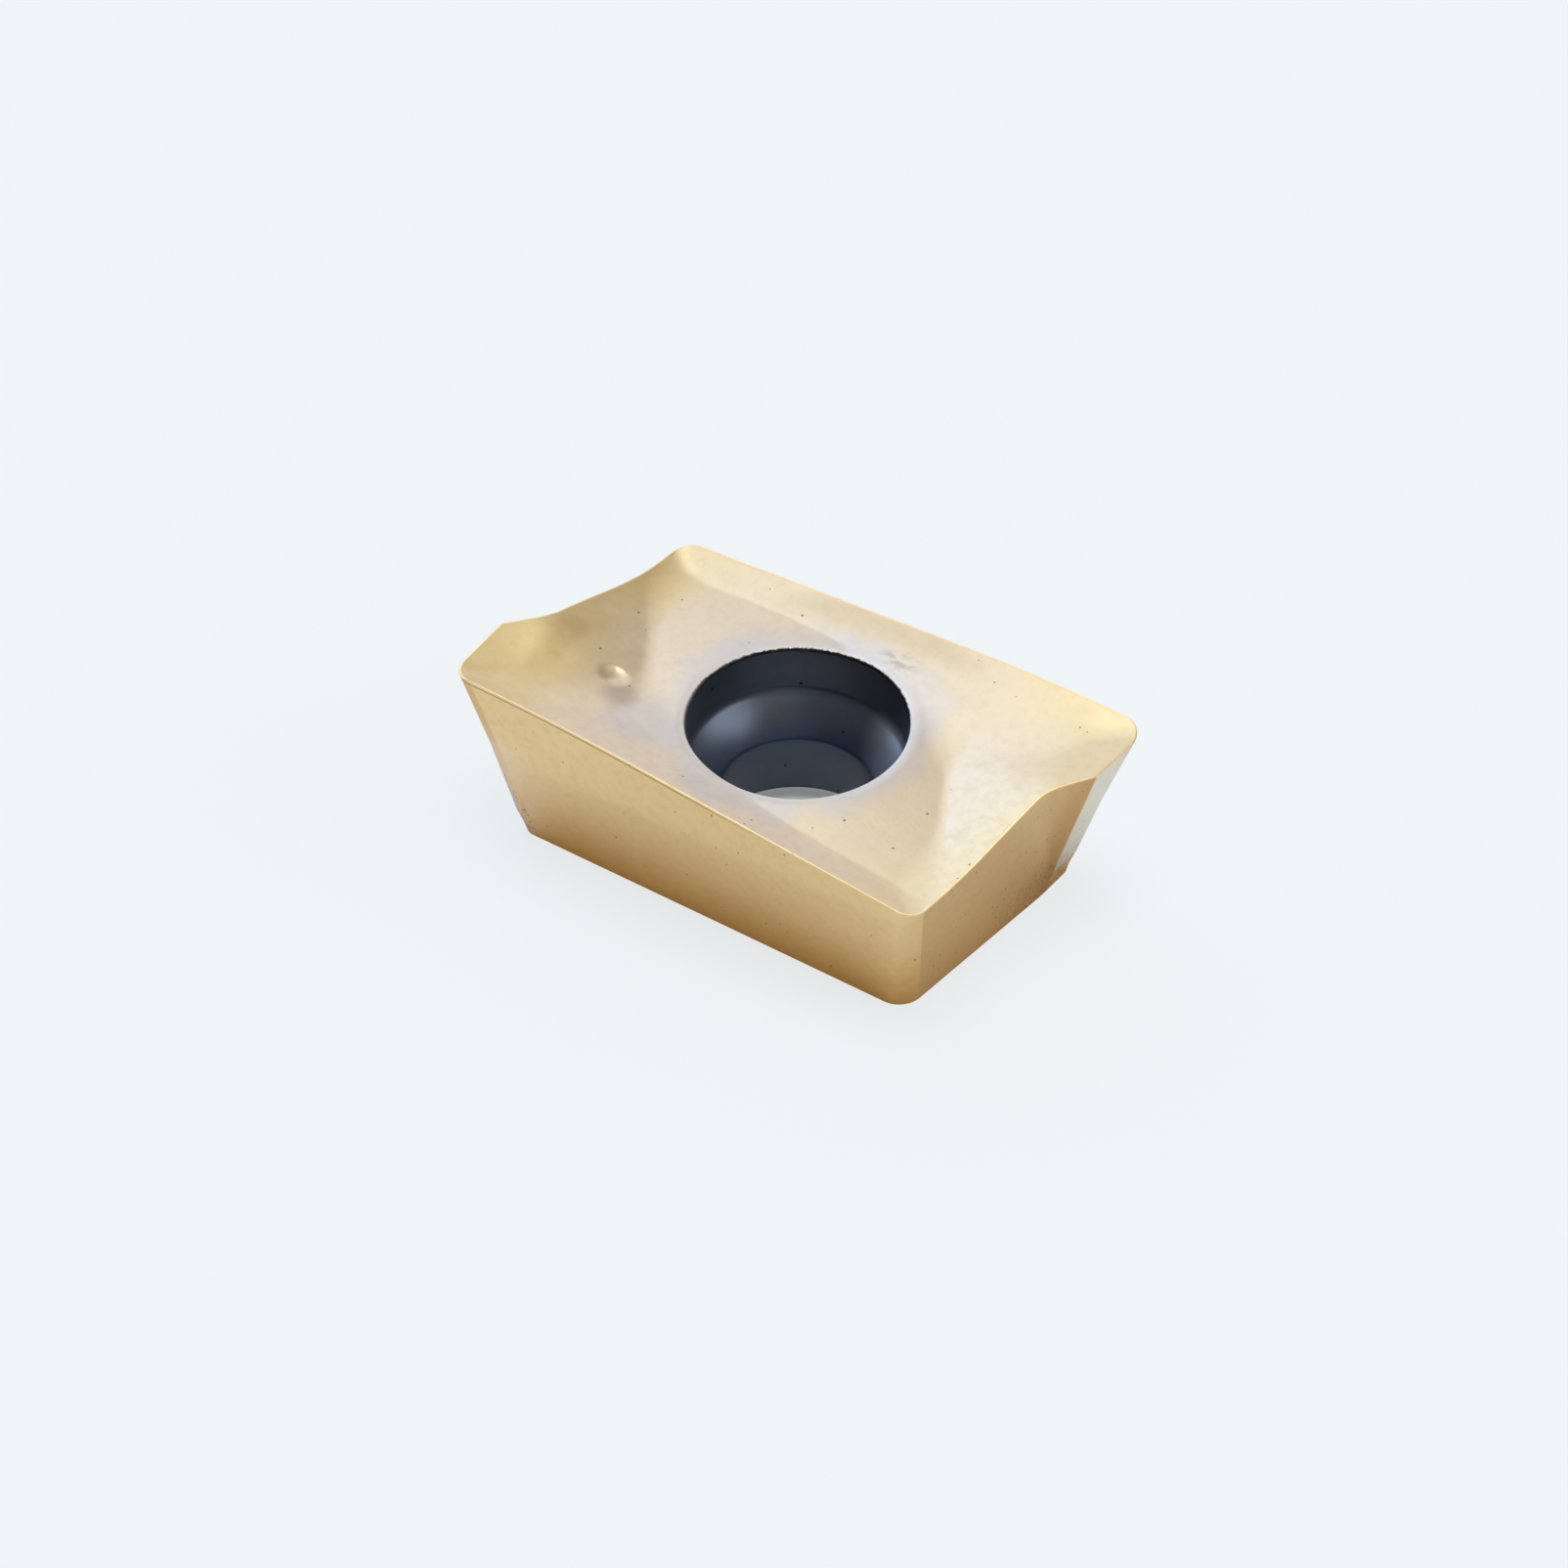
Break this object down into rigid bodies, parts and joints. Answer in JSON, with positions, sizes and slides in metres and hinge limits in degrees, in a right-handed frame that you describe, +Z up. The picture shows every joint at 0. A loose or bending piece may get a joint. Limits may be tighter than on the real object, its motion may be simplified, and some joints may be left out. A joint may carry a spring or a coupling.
{
  "type": "milling insert",
  "caption": "Parallelogram milling insert with falling cutting edges, a sunk chip face, wiper corners and a recessed hole for a clamping screw.",
  "frame": {"origin": "on the axis of the screw hole, in the plane of the flat seat face", "axes": "+X along the length, towards the end whose cutting nose lies at +Y; +Y across the width; +Z up along the screw hole, from the seat face to the chip face"},
  "size_m": [0.0174, 0.0096, 0.0057],
  "materials": {
    "coated_carbide": "satin gold coloured hard coating on cemented carbide"
  },
  "bodies": {
    "root": {"insert": "coated_carbide"}
  },
  "joints": []
}
